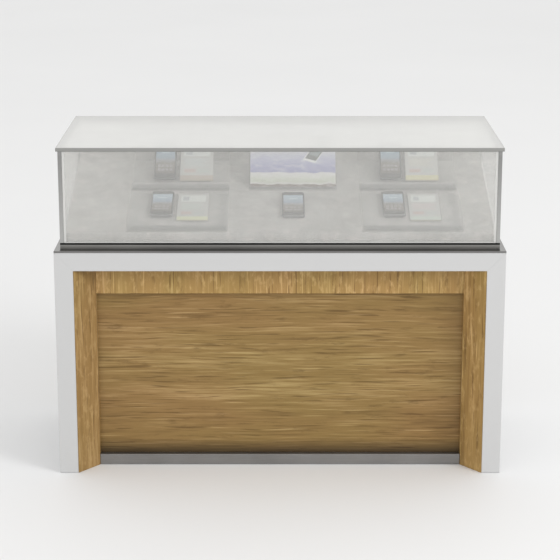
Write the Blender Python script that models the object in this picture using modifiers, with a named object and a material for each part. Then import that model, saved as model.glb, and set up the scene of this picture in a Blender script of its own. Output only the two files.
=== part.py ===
"""Retail display and checkout counter, 1200 x 500 x 900 mm.

A white inverted-U frame stands on the floor. An oak front panel with splayed reveals is set back
inside it, and a storage cabinet faces the staff side. A glass showcase stands on a steel deck.
Metres, +Z up. The origin is on the floor under the middle. The customer is at -Y, the staff at +Y.
"""
import bpy
import bmesh
from math import acos, cos, pi, radians, sin, sqrt, tan
from mathutils import Vector

# ---- driving dimensions -------------------------------------------------------------------
WIDTH = 1.200
DEPTH = 0.500
HEIGHT = 0.900
GAP = 0.0003                    # between pieces that touch

# white frame
FRAME_THICK = 0.050
FRAME_TOP = 0.620
DECK_TOP = 0.625
ARRIS = 0.001

# oak front
BOARD = 0.018
PANEL_SETBACK = 0.081           # from the frame's front to the front panel's face
REVEAL_SETBACK = 0.0625         # from the frame's front to the reveal's inner edge
REVEAL_INNER_X = 0.497
FASCIA_DROP = 0.129             # fascia's lower edge below the top of the frame
PLINTH_HEIGHT = 0.030

# staff side
FACE_Y = 0.215                  # outer face of the doors and the drawer
FLOOR_Z = 0.030                 # underside of the cabinet floor
SHELF_Z = 0.430                 # underside of the shelves above the doors
REVEAL_GAP = 0.003              # shadow gap round a door or a drawer front
TOE_KICK = 0.030
CATCH = Vector((0.014, 0.0175, 0.040))
CATCH_DROP = 0.010              # below the shelves

# piano hinge
HINGE_R = 0.0022
HINGE_LEAF = 0.0010
HINGE_BORE_R = 0.0012
HINGE_PIN_R = 0.0010
HINGE_LEAF_LENGTH = 0.017
KNUCKLES = 10
KNUCKLE_GAP = 0.0004

# cash drawer
RUNNER_SPACE = 0.013
RUNNER_LENGTH = 0.330
DRAWER_WALL = 0.012
DRAWER_BOX_HEIGHT = 0.085
DRAWER_BOX_DEPTH = 0.341
RAIL_SHEET = 0.0015
TILL_HEIGHT = 0.062
TILL_WALL = 0.003
COIN_ROW = 0.094
TILL_COLUMNS = 5
COMB_DROP = 0.006

# lock
LOCK_FLANGE_R = 0.010
LOCK_FLANGE = 0.002
LOCK_R = 0.008
LOCK_LENGTH = 0.025
LOCK_BORE_R = 0.0063
LOCK_PLUG_R = 0.0060
LOCK_CAM_LENGTH = 0.024
LOCK_CAM_HALF = 0.0045
LOCK_CAM_THICK = 0.002
LOCK_POCKET_MARGIN = 0.005
KEYWAY_WIDTH = 0.0012
KEYWAY_HALF = 0.004
LOCK_Z = 0.553

# handles
HANDLE_R = 0.004
HANDLE_SPAN = 0.128
HANDLE_BEND = 0.010
HANDLE_OUT = 0.0285             # bar's centre line in front of the face
DOOR_HANDLE_INSET = 0.040
DOOR_HANDLE_DROP = 0.110
DRAWER_HANDLE_RISE = 0.045

# showcase
CASE_HALF_WIDTH = 0.585
CASE_SETBACK = 0.023            # showcase front behind the frame's front
CASE_REAR_Y = 0.245
GLASS = 0.010
TOP_GLASS_OVERHANG = 0.005
CHANNEL_HEIGHT = 0.0114
CHANNEL_WIDTH = 0.012
GASKET_HEIGHT = 0.0040

# sliding glass doors
TRACK_Y = 0.2265
TRACK_FIN = 0.0015
TRACK_GROOVE = 0.0065
TRACK_BASE = 0.002
LOWER_TRACK_HEIGHT = 0.010
UPPER_TRACK_HEIGHT = 0.012
DOOR_GLASS = 0.005
DOOR_OVERLAP = 0.023
DOOR_UP_IN_TRACK = 0.005
GRIP = Vector((0.018, 0.002, 0.060))
GRIP_INSET = 0.060
GRIP_RISE = 0.060               # above the door's middle

# display board and what stands on it
BOARD_THICK = 0.012
BOARD_SLOPE = radians(18)
BOARD_FRONT_RISE = 0.040
BOARD_HALF_WIDTH = 0.5725
BOARD_REAR_Y = 0.220
ACRYLIC = 0.003
TRAY_WIDTH = 0.270
TRAY_DEPTH = 0.200
LIP_HEIGHT = 0.019
LOWER_ROW = 0.006               # up the slope from the board's front edge
UPPER_ROW = 0.226
LEFT_STATION = -0.275
RIGHT_STATION = 0.355
CENTRE_STATION = 0.036
EASEL_BASE = 0.040
EASEL_ANGLE = radians(27)
EASEL_REST = 0.125
EASEL_FOOT = 0.014
HANDSET = Vector((0.062, 0.124, 0.010))
HANDSET_OFFSET = -0.046
HANDSET_CORNER = 0.007
HANDSET_FOOT = 0.006            # clear of the easel's fold
LOWER_HANDSET = 0.138
PICTURE_WIDTH = 0.243
PICTURE_HEIGHT = 0.165
PICTURE_ANGLE = radians(37)
PICTURE_LEDGE = 0.010
PICTURE_FOOT = 0.045

# ---- worked out from them -----------------------------------------------------------------
HALF_W = WIDTH / 2
HALF_D = DEPTH / 2
INNER_X = HALF_W - FRAME_THICK
SLAB_BOTTOM = FRAME_TOP - FRAME_THICK
PANEL_Y = -HALF_D + PANEL_SETBACK
BACK_OF_PANEL = PANEL_Y + BOARD
CASE_FRONT_Y = -HALF_D + CASE_SETBACK
GLASS_BOTTOM = DECK_TOP + CHANNEL_HEIGHT + GASKET_HEIGHT + 3 * GAP
GLASS_TOP = HEIGHT - GLASS
BOARD_FRONT_Y = CASE_FRONT_Y + CHANNEL_WIDTH
BOARD_FRONT_Z = DECK_TOP + BOARD_FRONT_RISE
HINGE_Z0 = FLOOR_Z + BOARD + REVEAL_GAP + 0.003
HINGE_LENGTH = 0.370
LOCK_X = -(INNER_X + BOARD / 2) / 2
LOCK_CAM_Y = FACE_Y - BOARD - 0.011
DRAWER_BOX_Z = SHELF_Z + BOARD + 0.008
SIDES = (("left", -1), ("right", 1))

PLANE_ROTATION = {"X": (pi / 2, 0, pi / 2), "Y": (pi / 2, 0, 0), "Z": (0, 0, 0)}
MATERIALS = {
    "white_lacquer": ((0.66, 0.66, 0.65), 0.35, 0.0),
    "oak": ((0.36, 0.23, 0.10), 0.55, 0.0),
    "white_melamine": ((0.72, 0.72, 0.70), 0.5, 0.0),
    "brushed_steel": ((0.45, 0.44, 0.42), 0.3, 1.0),
    "aluminium": ((0.60, 0.60, 0.60), 0.35, 1.0),
    "glass": ((0.80, 0.88, 0.86), 0.05, 0.0),
    "acrylic": ((0.85, 0.87, 0.86), 0.1, 0.0),
    "gasket": ((0.02, 0.02, 0.02), 0.8, 0.0),
    "laminate": ((0.52, 0.52, 0.50), 0.6, 0.0),
    "dark_plastic": ((0.03, 0.03, 0.035), 0.45, 0.0),
    "handset_shell": ((0.05, 0.05, 0.06), 0.2, 0.0),
    "chrome": ((0.75, 0.75, 0.76), 0.15, 1.0),
}


# ---- scene, materials and collections -----------------------------------------------------
def clear_scene():
    for obj in list(bpy.data.objects):
        bpy.data.objects.remove(obj, do_unlink=True)


def make_collection(name):
    collection = bpy.data.collections.new(name)
    bpy.context.scene.collection.children.link(collection)
    return collection


def make_material(name):
    """A fresh Principled material for one piece, in the named finish."""
    colour, roughness, metallic = MATERIALS[name]
    material = bpy.data.materials.new(name)
    material.use_nodes = True
    shader = material.node_tree.nodes["Principled BSDF"]
    shader.inputs["Base Color"].default_value = (*colour, 1.0)
    shader.inputs["Roughness"].default_value = roughness
    shader.inputs["Metallic"].default_value = metallic
    return material


def link(name, data, finish, location=(0, 0, 0), rotation=(0, 0, 0), parent=None):
    """Put one piece in the counter's collection, placed in its parent's frame."""
    obj = bpy.data.objects.new(name, data)
    PARTS.objects.link(obj)
    obj.data.materials.append(make_material(finish))
    obj.location = location
    obj.rotation_euler = rotation
    obj.parent = parent
    return obj


def pivot(name, location, rotation=(0, 0, 0)):
    """An empty on a joint's axis, or at a slanted frame's origin."""
    empty = bpy.data.objects.new(name, None)
    PARTS.objects.link(empty)
    empty.location = location
    empty.rotation_euler = rotation
    return empty


def attach(obj, empty, place=None):
    """Hang a piece that stands in world coordinates on an unturned pivot, whose place is in the world."""
    obj.parent = empty
    obj.location -= place or empty.location
    return obj


# ---- shapes -------------------------------------------------------------------------------
def cube_mesh(name, size):
    mesh = bpy.data.meshes.new(name)
    bm = bmesh.new()
    bmesh.ops.create_cube(bm, size=1.0)
    bmesh.ops.scale(bm, vec=size, verts=bm.verts)
    bm.to_mesh(mesh)
    bm.free()
    return mesh


def bevel(obj, width, segments=1):
    modifier = obj.modifiers.new("Arris", "BEVEL")
    modifier.width = width
    modifier.segments = segments
    modifier.limit_method = "ANGLE"
    return modifier


def bevel_square_edges(obj, width):
    """Round every edge but those of a mitred joint's slanted face."""
    bm = bmesh.new()
    bm.from_mesh(obj.data)
    weight = bm.edges.layers.float.new("bevel_weight_edge")
    for edge in bm.edges:
        slanted = [face for face in edge.link_faces if abs(face.normal.x * face.normal.z) > 0.1]
        edge[weight] = 0.0 if slanted else 1.0
    bm.to_mesh(obj.data)
    bm.free()
    bevel(obj, width).limit_method = "WEIGHT"


def box(name, low, high, finish, arris=0.0):
    """A board or block between two corners, with its origin at its centre."""
    low = Vector(low)
    high = Vector(high)
    obj = link(name, cube_mesh(name, high - low), finish, location=(low + high) / 2)
    if arris:
        bevel(obj, arris)
    return obj


def outline_curve(name, outlines, thickness):
    curve = bpy.data.curves.new(name, "CURVE")
    curve.dimensions = "2D"
    curve.fill_mode = "BOTH"
    curve.extrude = thickness / 2
    for outline in outlines:
        spline = curve.splines.new("POLY")
        spline.points.add(len(outline) - 1)
        for point, (u, v) in zip(spline.points, outline):
            point.co = (u, v, 0, 1)
        spline.use_cyclic_u = True
    return curve


def prism(name, outlines, low, high, axis, finish, parent=None):
    """Flat outlines, in the plane across the axis, extruded from low to high along it."""
    middle = (low + high) / 2
    location = [middle if letter == axis else 0.0 for letter in "XYZ"]
    curve = outline_curve(name, outlines, high - low)
    return link(name, curve, finish, location, PLANE_ROTATION[axis], parent)


def arc(centre, radius, start, end, steps):
    """Points from one angle to another, both ends included."""
    angles = [start + (end - start) * i / steps for i in range(steps + 1)]
    return [(centre[0] + radius * cos(a), centre[1] + radius * sin(a)) for a in angles]


def circle(centre, radius, steps):
    return arc(centre, radius, 0, 2 * pi * (steps - 1) / steps, steps - 1)


def rounded_rectangle(width, height, radius, steps=3):
    points = []
    for quarter, (sx, sy) in enumerate(((1, 1), (-1, 1), (-1, -1), (1, -1))):
        centre = (sx * (width / 2 - radius), sy * (height / 2 - radius))
        points += arc(centre, radius, quarter * pi / 2, (quarter + 1) * pi / 2, steps)
    return points


def folded_sheet(points, thickness):
    """The closed outline of a sheet folded along a line of points, with mitred bends."""
    path = [Vector(p) for p in points]
    left = []
    right = []
    for i, here in enumerate(path):
        before = (here - path[i - 1]).normalized() if i else None
        after = (path[i + 1] - here).normalized() if i < len(path) - 1 else None
        before = before or after
        after = after or before
        normal = Vector((-before.y - after.y, before.x + after.x)).normalized()
        across = thickness / 2 / normal.dot(Vector((-before.y, before.x)))
        left.append(tuple(here + normal * across))
        right.append(tuple(here - normal * across))
    return left + right[::-1]


def tube_path(name, points, radius, finish):
    """A bent round bar along a line of points, with closed ends."""
    curve = bpy.data.curves.new(name, "CURVE")
    curve.dimensions = "3D"
    curve.bevel_depth = radius
    curve.bevel_resolution = 2
    curve.use_fill_caps = True
    spline = curve.splines.new("POLY")
    spline.points.add(len(points) - 1)
    for point, co in zip(spline.points, points):
        point.co = (*co, 1)
    return link(name, curve, finish)


def turned(name, profile, steps, finish, location, rotation):
    """A closed profile of (radius, height) turned round the local Z axis."""
    mesh = bpy.data.meshes.new(name)
    edges = [(i, (i + 1) % len(profile)) for i in range(len(profile))]
    mesh.from_pydata([(r, 0, z) for r, z in profile], edges, [])
    obj = link(name, mesh, finish, location, rotation)
    screw = obj.modifiers.new("Turn", "SCREW")
    screw.steps = steps
    screw.render_steps = steps
    screw.use_merge_vertices = True
    screw.merge_threshold = 0.00005
    return obj


def rod_mesh(name, radius, length, sides):
    """A round bar along Z, about the origin."""
    mesh = bpy.data.meshes.new(name)
    bm = bmesh.new()
    ends = {"radius1": radius, "radius2": radius, "depth": length}
    bmesh.ops.create_cone(bm, cap_ends=True, segments=sides, **ends)
    bm.to_mesh(mesh)
    bm.free()
    return mesh


def open_box(obj, wall):
    """Take the lid off a box and give what is left walls of that thickness."""
    bm = bmesh.new()
    bm.from_mesh(obj.data)
    lid = max(bm.faces, key=lambda face: face.calc_center_median().z)
    bmesh.ops.delete(bm, geom=[lid], context="FACES_ONLY")
    bm.to_mesh(obj.data)
    bm.free()
    shell = obj.modifiers.new("Walls", "SOLIDIFY")
    shell.thickness = wall
    shell.use_even_offset = True
    return obj


# ---- cutting and joining ------------------------------------------------------------------
def as_mesh(obj):
    """Swap a curve for its welded mesh, in the same place."""
    bpy.context.view_layer.update()
    evaluated = obj.evaluated_get(bpy.context.evaluated_depsgraph_get())
    mesh = bpy.data.meshes.new_from_object(evaluated)
    bm = bmesh.new()
    bm.from_mesh(mesh)
    bmesh.ops.remove_doubles(bm, verts=bm.verts, dist=0.00001)
    bm.to_mesh(mesh)
    bm.free()
    name = obj.name
    matrix = obj.matrix_world.copy()
    bpy.data.objects.remove(obj, do_unlink=True)
    swapped = bpy.data.objects.new(name, mesh)
    PARTS.objects.link(swapped)
    swapped.matrix_world = matrix
    return swapped


def move_to_cutters(obj):
    PARTS.objects.unlink(obj)
    CUTTERS.objects.link(obj)
    obj.hide_render = True
    obj.display_type = "WIRE"
    return obj


def boolean(obj, other, operation):
    modifier = obj.modifiers.new(operation.title(), "BOOLEAN")
    modifier.operation = operation
    modifier.object = move_to_cutters(other)
    return obj


def cutter_boxes(name, boxes, rounding=0.0):
    """One cutter made of several boxes, each given by two corners."""
    mesh = bpy.data.meshes.new(name)
    bm = bmesh.new()
    for low, high in boxes:
        low = Vector(low)
        high = Vector(high)
        made = bmesh.ops.create_cube(bm, size=1.0)["verts"]
        bmesh.ops.scale(bm, vec=high - low, verts=made)
        bmesh.ops.translate(bm, vec=(low + high) / 2, verts=made)
    bm.to_mesh(mesh)
    bm.free()
    obj = link(name, mesh, "dark_plastic")
    if rounding:
        bevel(obj, rounding, segments=2)
    return obj


def bar_along_y(name, radius, low, high, x, z, finish):
    """A round bar along Y between two stations."""
    mesh = rod_mesh(name, radius, high - low, 24)
    return link(name, mesh, finish, (x, (low + high) / 2, z), (pi / 2, 0, 0))


def smooth(obj):
    """Smooth shading with the flat edges kept sharp."""
    obj.data.shade_smooth()
    obj.data.set_sharp_from_angle(angle=radians(35))
    return obj


# ---- white frame and steel deck -----------------------------------------------------------
def make_frame():
    for side, sign in SIDES:
        low = (min(sign * INNER_X, sign * HALF_W), -HALF_D, 0)
        high = (max(sign * INNER_X, sign * HALF_W), HALF_D, FRAME_TOP)
        panel = box(f"{side}_side_panel", low, high, "white_lacquer")
        for vertex in panel.data.vertices:
            if vertex.co.z > 0 and vertex.co.x * sign < 0:
                vertex.co.z -= FRAME_THICK
        bevel_square_edges(panel, ARRIS)

    mitre_gap = GAP * sqrt(2)
    edge = HALF_W - mitre_gap
    low = (-edge, -HALF_D, SLAB_BOTTOM)
    slab = box("top_slab", low, (edge, HALF_D, FRAME_TOP), "white_lacquer")
    for vertex in slab.data.vertices:
        if vertex.co.z < 0:
            vertex.co.x -= FRAME_THICK if vertex.co.x > 0 else -FRAME_THICK
    bevel_square_edges(slab, ARRIS)
    margin = LOCK_POCKET_MARGIN
    pocket_top = LOCK_Z + LOCK_CAM_LENGTH + margin
    low = (LOCK_X - LOCK_CAM_LENGTH / 2, LOCK_CAM_Y - margin, SLAB_BOTTOM - margin)
    high = (LOCK_X + LOCK_CAM_LENGTH, LOCK_CAM_Y + margin, pocket_top)
    boolean(slab, cutter_boxes("lock_pocket", [(low, high)]), "DIFFERENCE")
    low = (-HALF_W, -HALF_D, FRAME_TOP + GAP)
    box("deck_plate", low, (HALF_W, HALF_D, DECK_TOP), "brushed_steel", 0.0005)


# ---- oak front ----------------------------------------------------------------------------
def reveal_outline(sign):
    """Plan of a splayed board between the leg and the front panel."""
    front = Vector((INNER_X - GAP, -HALF_D + GAP))
    inner = Vector((REVEAL_INNER_X, -HALF_D + REVEAL_SETBACK))
    back_y = PANEL_Y - GAP
    along = (inner - front).normalized()
    behind = Vector((-along.y, along.x)) * -BOARD
    leg_step = (front.x - (front + behind).x) / along.x
    leg_point = front + behind + along * leg_step
    panel_step = (back_y - (front + behind).y) / along.y
    panel_point = front + behind + along * panel_step
    corners = (front, inner, Vector((inner.x, back_y)), panel_point, leg_point)
    return [(sign * corner.x, corner.y) for corner in corners]


def make_front():
    for side, sign in SIDES:
        prism(f"{side}_reveal", [reveal_outline(sign)], 0, SLAB_BOTTOM - GAP, "Z", "oak")
    inside = REVEAL_INNER_X - GAP
    front_y = -HALF_D + REVEAL_SETBACK + 0.0005
    back_y = PANEL_Y - GAP
    bottom = FRAME_TOP - FASCIA_DROP
    box("fascia", (-inside, front_y, bottom), (inside, back_y, SLAB_BOTTOM - GAP), "oak", 0.0005)
    panel_x = INNER_X - GAP
    box("front_panel", (-panel_x, PANEL_Y, 0), (panel_x, BACK_OF_PANEL, SLAB_BOTTOM - GAP), "oak")
    box("front_plinth", (-inside, front_y, 0), (inside, back_y, PLINTH_HEIGHT), "brushed_steel", 0.001)


# ---- storage cabinet ----------------------------------------------------------------------
def make_cabinet():
    front_y = BACK_OF_PANEL + GAP
    rear_y = FACE_Y - GAP
    outer = INNER_X - GAP
    floor_top = FLOOR_Z + BOARD
    box("cabinet_floor", (-outer, front_y, FLOOR_Z), (outer, rear_y, floor_top), "white_melamine")
    kick_y = FACE_Y - TOE_KICK
    box("rear_plinth", (-outer, kick_y - BOARD, 0), (outer, kick_y, FLOOR_Z - GAP), "white_melamine")
    low = (-BOARD / 2, front_y, floor_top + GAP)
    high = (BOARD / 2, rear_y, SLAB_BOTTOM - GAP)
    box("centre_divider", low, high, "white_melamine")
    near = BOARD / 2 + GAP
    for name, low_x, high_x in (("drawer_bay_shelf", -outer, -near), ("open_bay_shelf", near, outer)):
        high = (high_x, rear_y, SHELF_Z + BOARD)
        box(name, (low_x, front_y, SHELF_Z), high, "white_melamine")
    catch_y = FACE_Y - BOARD - 0.0005
    catch_z = SHELF_Z - CATCH_DROP
    for side, sign in SIDES:
        ends = sorted((sign * near, sign * (near + CATCH.x)))
        low = (ends[0], catch_y - CATCH.y, catch_z - CATCH.z)
        box(f"{side}_door_catch", low, (ends[1], catch_y, catch_z), "dark_plastic", 0.001)


# ---- hinged doors -------------------------------------------------------------------------
def leaf_outline(side):
    """Plan of a hinge leaf with its barrel round the origin; the leaf runs towards -Y.

    The leaf is tangent to the barrel at +X when side is 1 and at -X when it is -1.
    """
    meet = acos((HINGE_R - HINGE_LEAF) / HINGE_R)
    barrel = arc((0, 0), HINGE_R, pi + meet, 3 * pi, 11)
    plate = [(-HINGE_R, -HINGE_LEAF_LENGTH), (HINGE_LEAF - HINGE_R, -HINGE_LEAF_LENGTH)]
    return [(-side * u, v) for u, v in barrel + plate]


def hinge_leaf(name, axis_x, axis_y, side, first_cut):
    """A leaf with every other knuckle cut away, starting at knuckle first_cut."""
    outlines = [leaf_outline(side), circle((0, 0), HINGE_BORE_R, 8)]
    top = HINGE_Z0 + HINGE_LENGTH
    leaf = prism(name, outlines, HINGE_Z0, top, "Z", "brushed_steel")
    leaf.location.x = axis_x
    leaf.location.y = axis_y
    leaf = as_mesh(leaf)
    step = HINGE_LENGTH / KNUCKLES
    reach = HINGE_R + 0.0006
    boxes = []
    for i in range(first_cut, KNUCKLES, 2):
        low_z = HINGE_Z0 + i * step - (KNUCKLE_GAP / 2 if i else 0.001)
        high_z = HINGE_Z0 + (i + 1) * step + (KNUCKLE_GAP / 2 if i < KNUCKLES - 1 else 0.001)
        low = (axis_x - reach, axis_y - reach, low_z)
        high = (axis_x + reach, axis_y + reach, high_z)
        boxes.append((low, high))
    return boolean(leaf, cutter_boxes(f"{name}_cuts", boxes), "DIFFERENCE")


def handle(name, points_of, centre):
    """A bent bar handle; points_of turns (along, out) into a point about the centre."""
    half = HANDLE_SPAN / 2
    post = [(half, GAP), (half, HANDLE_OUT - HANDLE_BEND)]
    bend = arc((half - HANDLE_BEND, HANDLE_OUT - HANDLE_BEND), HANDLE_BEND, 0, pi / 2, 4)
    right = post + bend[1:]
    path = right + [(-along, out) for along, out in reversed(right)]
    points = [Vector(centre) + Vector(points_of(along, out)) for along, out in path]
    return tube_path(name, points, HANDLE_R, "brushed_steel")


def make_door(side, sign):
    axis_x = sign * (INNER_X - GAP - HINGE_R)
    axis_y = FACE_Y + GAP + HINGE_R
    axis = pivot(f"{side}_door_axis", (axis_x, axis_y, HINGE_Z0))
    hinge_side = sign * (INNER_X - 2 * GAP - 2 * HINGE_R)
    free_side = sign * (BOARD / 2 + REVEAL_GAP)
    low = (min(hinge_side, free_side), FACE_Y - BOARD, FLOOR_Z + BOARD + REVEAL_GAP)
    high = (max(hinge_side, free_side), FACE_Y, SHELF_Z - REVEAL_GAP)
    attach(box(f"{side}_door", low, high, "oak", 0.0005), axis)
    hinge_leaf(f"{side}_hinge_fixed_leaf", axis_x, axis_y, sign, 1)
    attach(hinge_leaf(f"{side}_hinge_door_leaf", axis_x, axis_y, -sign, 0), axis)

    name = f"{side}_hinge_pin"
    middle = (axis_x, axis_y, HINGE_Z0 + HINGE_LENGTH / 2)
    smooth(link(name, rod_mesh(name, HINGE_PIN_R, HINGE_LENGTH, 12), "brushed_steel", middle))

    centre = (free_side + sign * DOOR_HANDLE_INSET, FACE_Y, SHELF_Z - DOOR_HANDLE_DROP)
    attach(handle(f"{side}_door_handle", lambda along, out: (0, out, along), centre), axis)


# ---- cash drawer --------------------------------------------------------------------------
def channel_outline(web_x, flange_x, half_height, sheet):
    """Section of a C-channel: a web at web_x with flanges reaching to flange_x."""
    inward = sheet if flange_x > web_x else -sheet
    return [
        (web_x, -half_height), (flange_x, -half_height), (flange_x, sheet - half_height),
        (web_x + inward, sheet - half_height), (web_x + inward, half_height - sheet),
        (flange_x, half_height - sheet), (flange_x, half_height), (web_x, half_height),
    ]


def make_runner(side, wall_x, inward, drawer):
    """The fixed track on the bay's wall and the runner nested in it on the drawer."""
    centre_z = DRAWER_BOX_Z + DRAWER_BOX_HEIGHT / 2
    rear_y = FACE_Y - BOARD - 0.002
    sections = (
        (f"{side}_drawer_track", GAP, 0.0100, 0.020, None),
        (f"{side}_drawer_runner", RUNNER_SPACE - GAP, 0.0035, 0.016, drawer),
    )
    for name, web, flange, half_height, owner in sections:
        reach = wall_x + inward * flange
        outline = channel_outline(wall_x + inward * web, reach, half_height, RAIL_SHEET)
        piece = prism(name, [outline], rear_y - RUNNER_LENGTH, rear_y, "Y", "brushed_steel")
        piece.location.z = centre_z
        if owner:
            attach(piece, owner)


def make_till(low, high, drawer):
    """An open tray, and the comb that parts it into note cells behind and coin cells in front."""
    attach(open_box(box("till_tray", low, high, "dark_plastic"), TILL_WALL), drawer)
    inset = TILL_WALL + GAP
    low = low + Vector((inset, inset, inset))
    high = high - Vector((inset, inset, COMB_DROP))
    rear = high.y - COIN_ROW
    spine_low = (low.x, rear - TILL_WALL, low.z)
    comb = box("till_divider", spine_low, (high.x, rear, high.z), "dark_plastic")
    pitch = (high.x - low.x + TILL_WALL) / TILL_COLUMNS
    fins = []
    for i in range(1, TILL_COLUMNS):
        x = low.x + i * pitch
        fins.append(((x - TILL_WALL, low.y, low.z), (x, high.y, high.z)))
    attach(boolean(comb, cutter_boxes("till_fins", fins), "UNION"), drawer)


def make_drawer():
    bay_low = -INNER_X
    bay_high = -BOARD / 2
    drawer = pivot("cash_drawer_slide", (LOCK_X, FACE_Y, DRAWER_BOX_Z))

    low = (bay_low + REVEAL_GAP, FACE_Y - BOARD, SHELF_Z + BOARD + REVEAL_GAP)
    high = (bay_high - REVEAL_GAP, FACE_Y, SLAB_BOTTOM - REVEAL_GAP)
    front = attach(box("drawer_front", low, high, "oak", 0.0005), drawer)
    hole_ends = (FACE_Y - 2 * BOARD, FACE_Y + BOARD)
    hole = bar_along_y("lock_hole", LOCK_R + GAP, *hole_ends, LOCK_X, LOCK_Z, "chrome")
    boolean(front, hole, "DIFFERENCE")

    rear_y = FACE_Y - BOARD - GAP
    low = Vector((bay_low + RUNNER_SPACE + GAP, rear_y - DRAWER_BOX_DEPTH, DRAWER_BOX_Z))
    high = Vector((bay_high - RUNNER_SPACE - GAP, rear_y, DRAWER_BOX_Z + DRAWER_BOX_HEIGHT))
    attach(open_box(box("drawer_box", low, high, "white_melamine"), DRAWER_WALL), drawer)

    margin = DRAWER_WALL + 0.001
    till_low = low + Vector((margin, margin, DRAWER_WALL + GAP))
    till_high = Vector((high.x - margin, high.y - margin, till_low.z + TILL_HEIGHT))
    make_till(till_low, till_high, drawer)

    make_runner("left", bay_low, 1, drawer)
    make_runner("right", bay_high, -1, drawer)
    centre = (LOCK_X, FACE_Y, SHELF_Z + BOARD + DRAWER_HANDLE_RISE)
    attach(handle("drawer_handle", lambda along, out: (along, out, 0), centre), drawer)

    flange = FACE_Y + GAP
    profile = [
        (LOCK_BORE_R, LOCK_FLANGE), (LOCK_FLANGE_R, LOCK_FLANGE), (LOCK_FLANGE_R, 0.0),
        (LOCK_R, 0.0), (LOCK_R, -LOCK_LENGTH), (LOCK_BORE_R, -LOCK_LENGTH),
    ]
    barrel = turned("lock_barrel", profile, 24, "chrome", (LOCK_X, flange, LOCK_Z), (-pi / 2, 0, 0))
    attach(barrel, drawer)
    make_lock_plug(drawer)


def make_lock_plug(drawer):
    axis = attach(pivot("drawer_lock_axis", (LOCK_X, FACE_Y, LOCK_Z)), drawer)
    front = FACE_Y + GAP + LOCK_FLANGE - 0.0005
    cam_low = LOCK_CAM_Y - LOCK_CAM_THICK / 2
    cam_high = LOCK_CAM_Y + LOCK_CAM_THICK / 2
    rear = cam_low - 0.0015
    plug = bar_along_y("lock_plug", LOCK_PLUG_R, rear, front, LOCK_X, LOCK_Z, "chrome")
    low = (LOCK_X - 0.7 * LOCK_PLUG_R, cam_low, LOCK_Z - LOCK_CAM_HALF)
    high = (LOCK_X + LOCK_CAM_LENGTH, cam_high, LOCK_Z + LOCK_CAM_HALF)
    boolean(plug, cutter_boxes("lock_cam", [(low, high)]), "UNION")
    low = (LOCK_X - KEYWAY_WIDTH / 2, front - KEYWAY_HALF, LOCK_Z - KEYWAY_HALF)
    high = (LOCK_X + KEYWAY_WIDTH / 2, front + KEYWAY_HALF, LOCK_Z + KEYWAY_HALF)
    boolean(plug, cutter_boxes("keyway", [(low, high)]), "DIFFERENCE")
    attach(plug, axis, Vector((LOCK_X, FACE_Y, LOCK_Z)))


# ---- showcase -----------------------------------------------------------------------------
def open_frame_outline(half_width, front_y, rear_y, width):
    """Plan of a three-sided frame, open at the back."""
    inner = half_width - width
    return [
        (-half_width, rear_y), (-half_width, front_y), (half_width, front_y), (half_width, rear_y),
        (inner, rear_y), (inner, front_y + width), (-inner, front_y + width), (-inner, rear_y),
    ]


def make_case():
    channel = open_frame_outline(CASE_HALF_WIDTH, CASE_FRONT_Y, CASE_REAR_Y, CHANNEL_WIDTH)
    channel_top = DECK_TOP + GAP + CHANNEL_HEIGHT
    prism("base_channel", [channel], DECK_TOP + GAP, channel_top, "Z", "brushed_steel")
    gasket = open_frame_outline(CASE_HALF_WIDTH, CASE_FRONT_Y, CASE_REAR_Y, GLASS)
    prism("base_gasket", [gasket], channel_top + GAP, GLASS_BOTTOM - GAP, "Z", "gasket")

    inner_x = CASE_HALF_WIDTH - GLASS
    top = GLASS_TOP - GAP
    low = (-inner_x + GAP, CASE_FRONT_Y, GLASS_BOTTOM)
    box("front_glass", low, (inner_x - GAP, CASE_FRONT_Y + GLASS, top), "glass", 0.0008)
    for side, sign in SIDES:
        low = (min(sign * inner_x, sign * CASE_HALF_WIDTH), CASE_FRONT_Y, GLASS_BOTTOM)
        high = (max(sign * inner_x, sign * CASE_HALF_WIDTH), CASE_REAR_Y, top)
        box(f"{side}_side_glass", low, high, "glass", 0.0008)
    half = CASE_HALF_WIDTH + TOP_GLASS_OVERHANG
    low = (-half, CASE_FRONT_Y - TOP_GLASS_OVERHANG, GLASS_TOP)
    box("top_glass", low, (half, CASE_REAR_Y + 0.002, HEIGHT), "glass", 0.001)


def track_outline(base_z, height, up):
    """Section of a two-groove track; its fins rise from the base when up is 1, hang when it is -1."""
    points = [(TRACK_Y, base_z)]
    y = TRACK_Y
    for groove in range(2):
        points += [(y, base_z + up * height), (y + TRACK_FIN, base_z + up * height)]
        points += [(y + TRACK_FIN, base_z + up * TRACK_BASE)]
        y += TRACK_FIN + TRACK_GROOVE
        points += [(y, base_z + up * TRACK_BASE)]
    rear = y + TRACK_FIN
    return points + [(y, base_z + up * height), (rear, base_z + up * height), (rear, base_z)]


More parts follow.
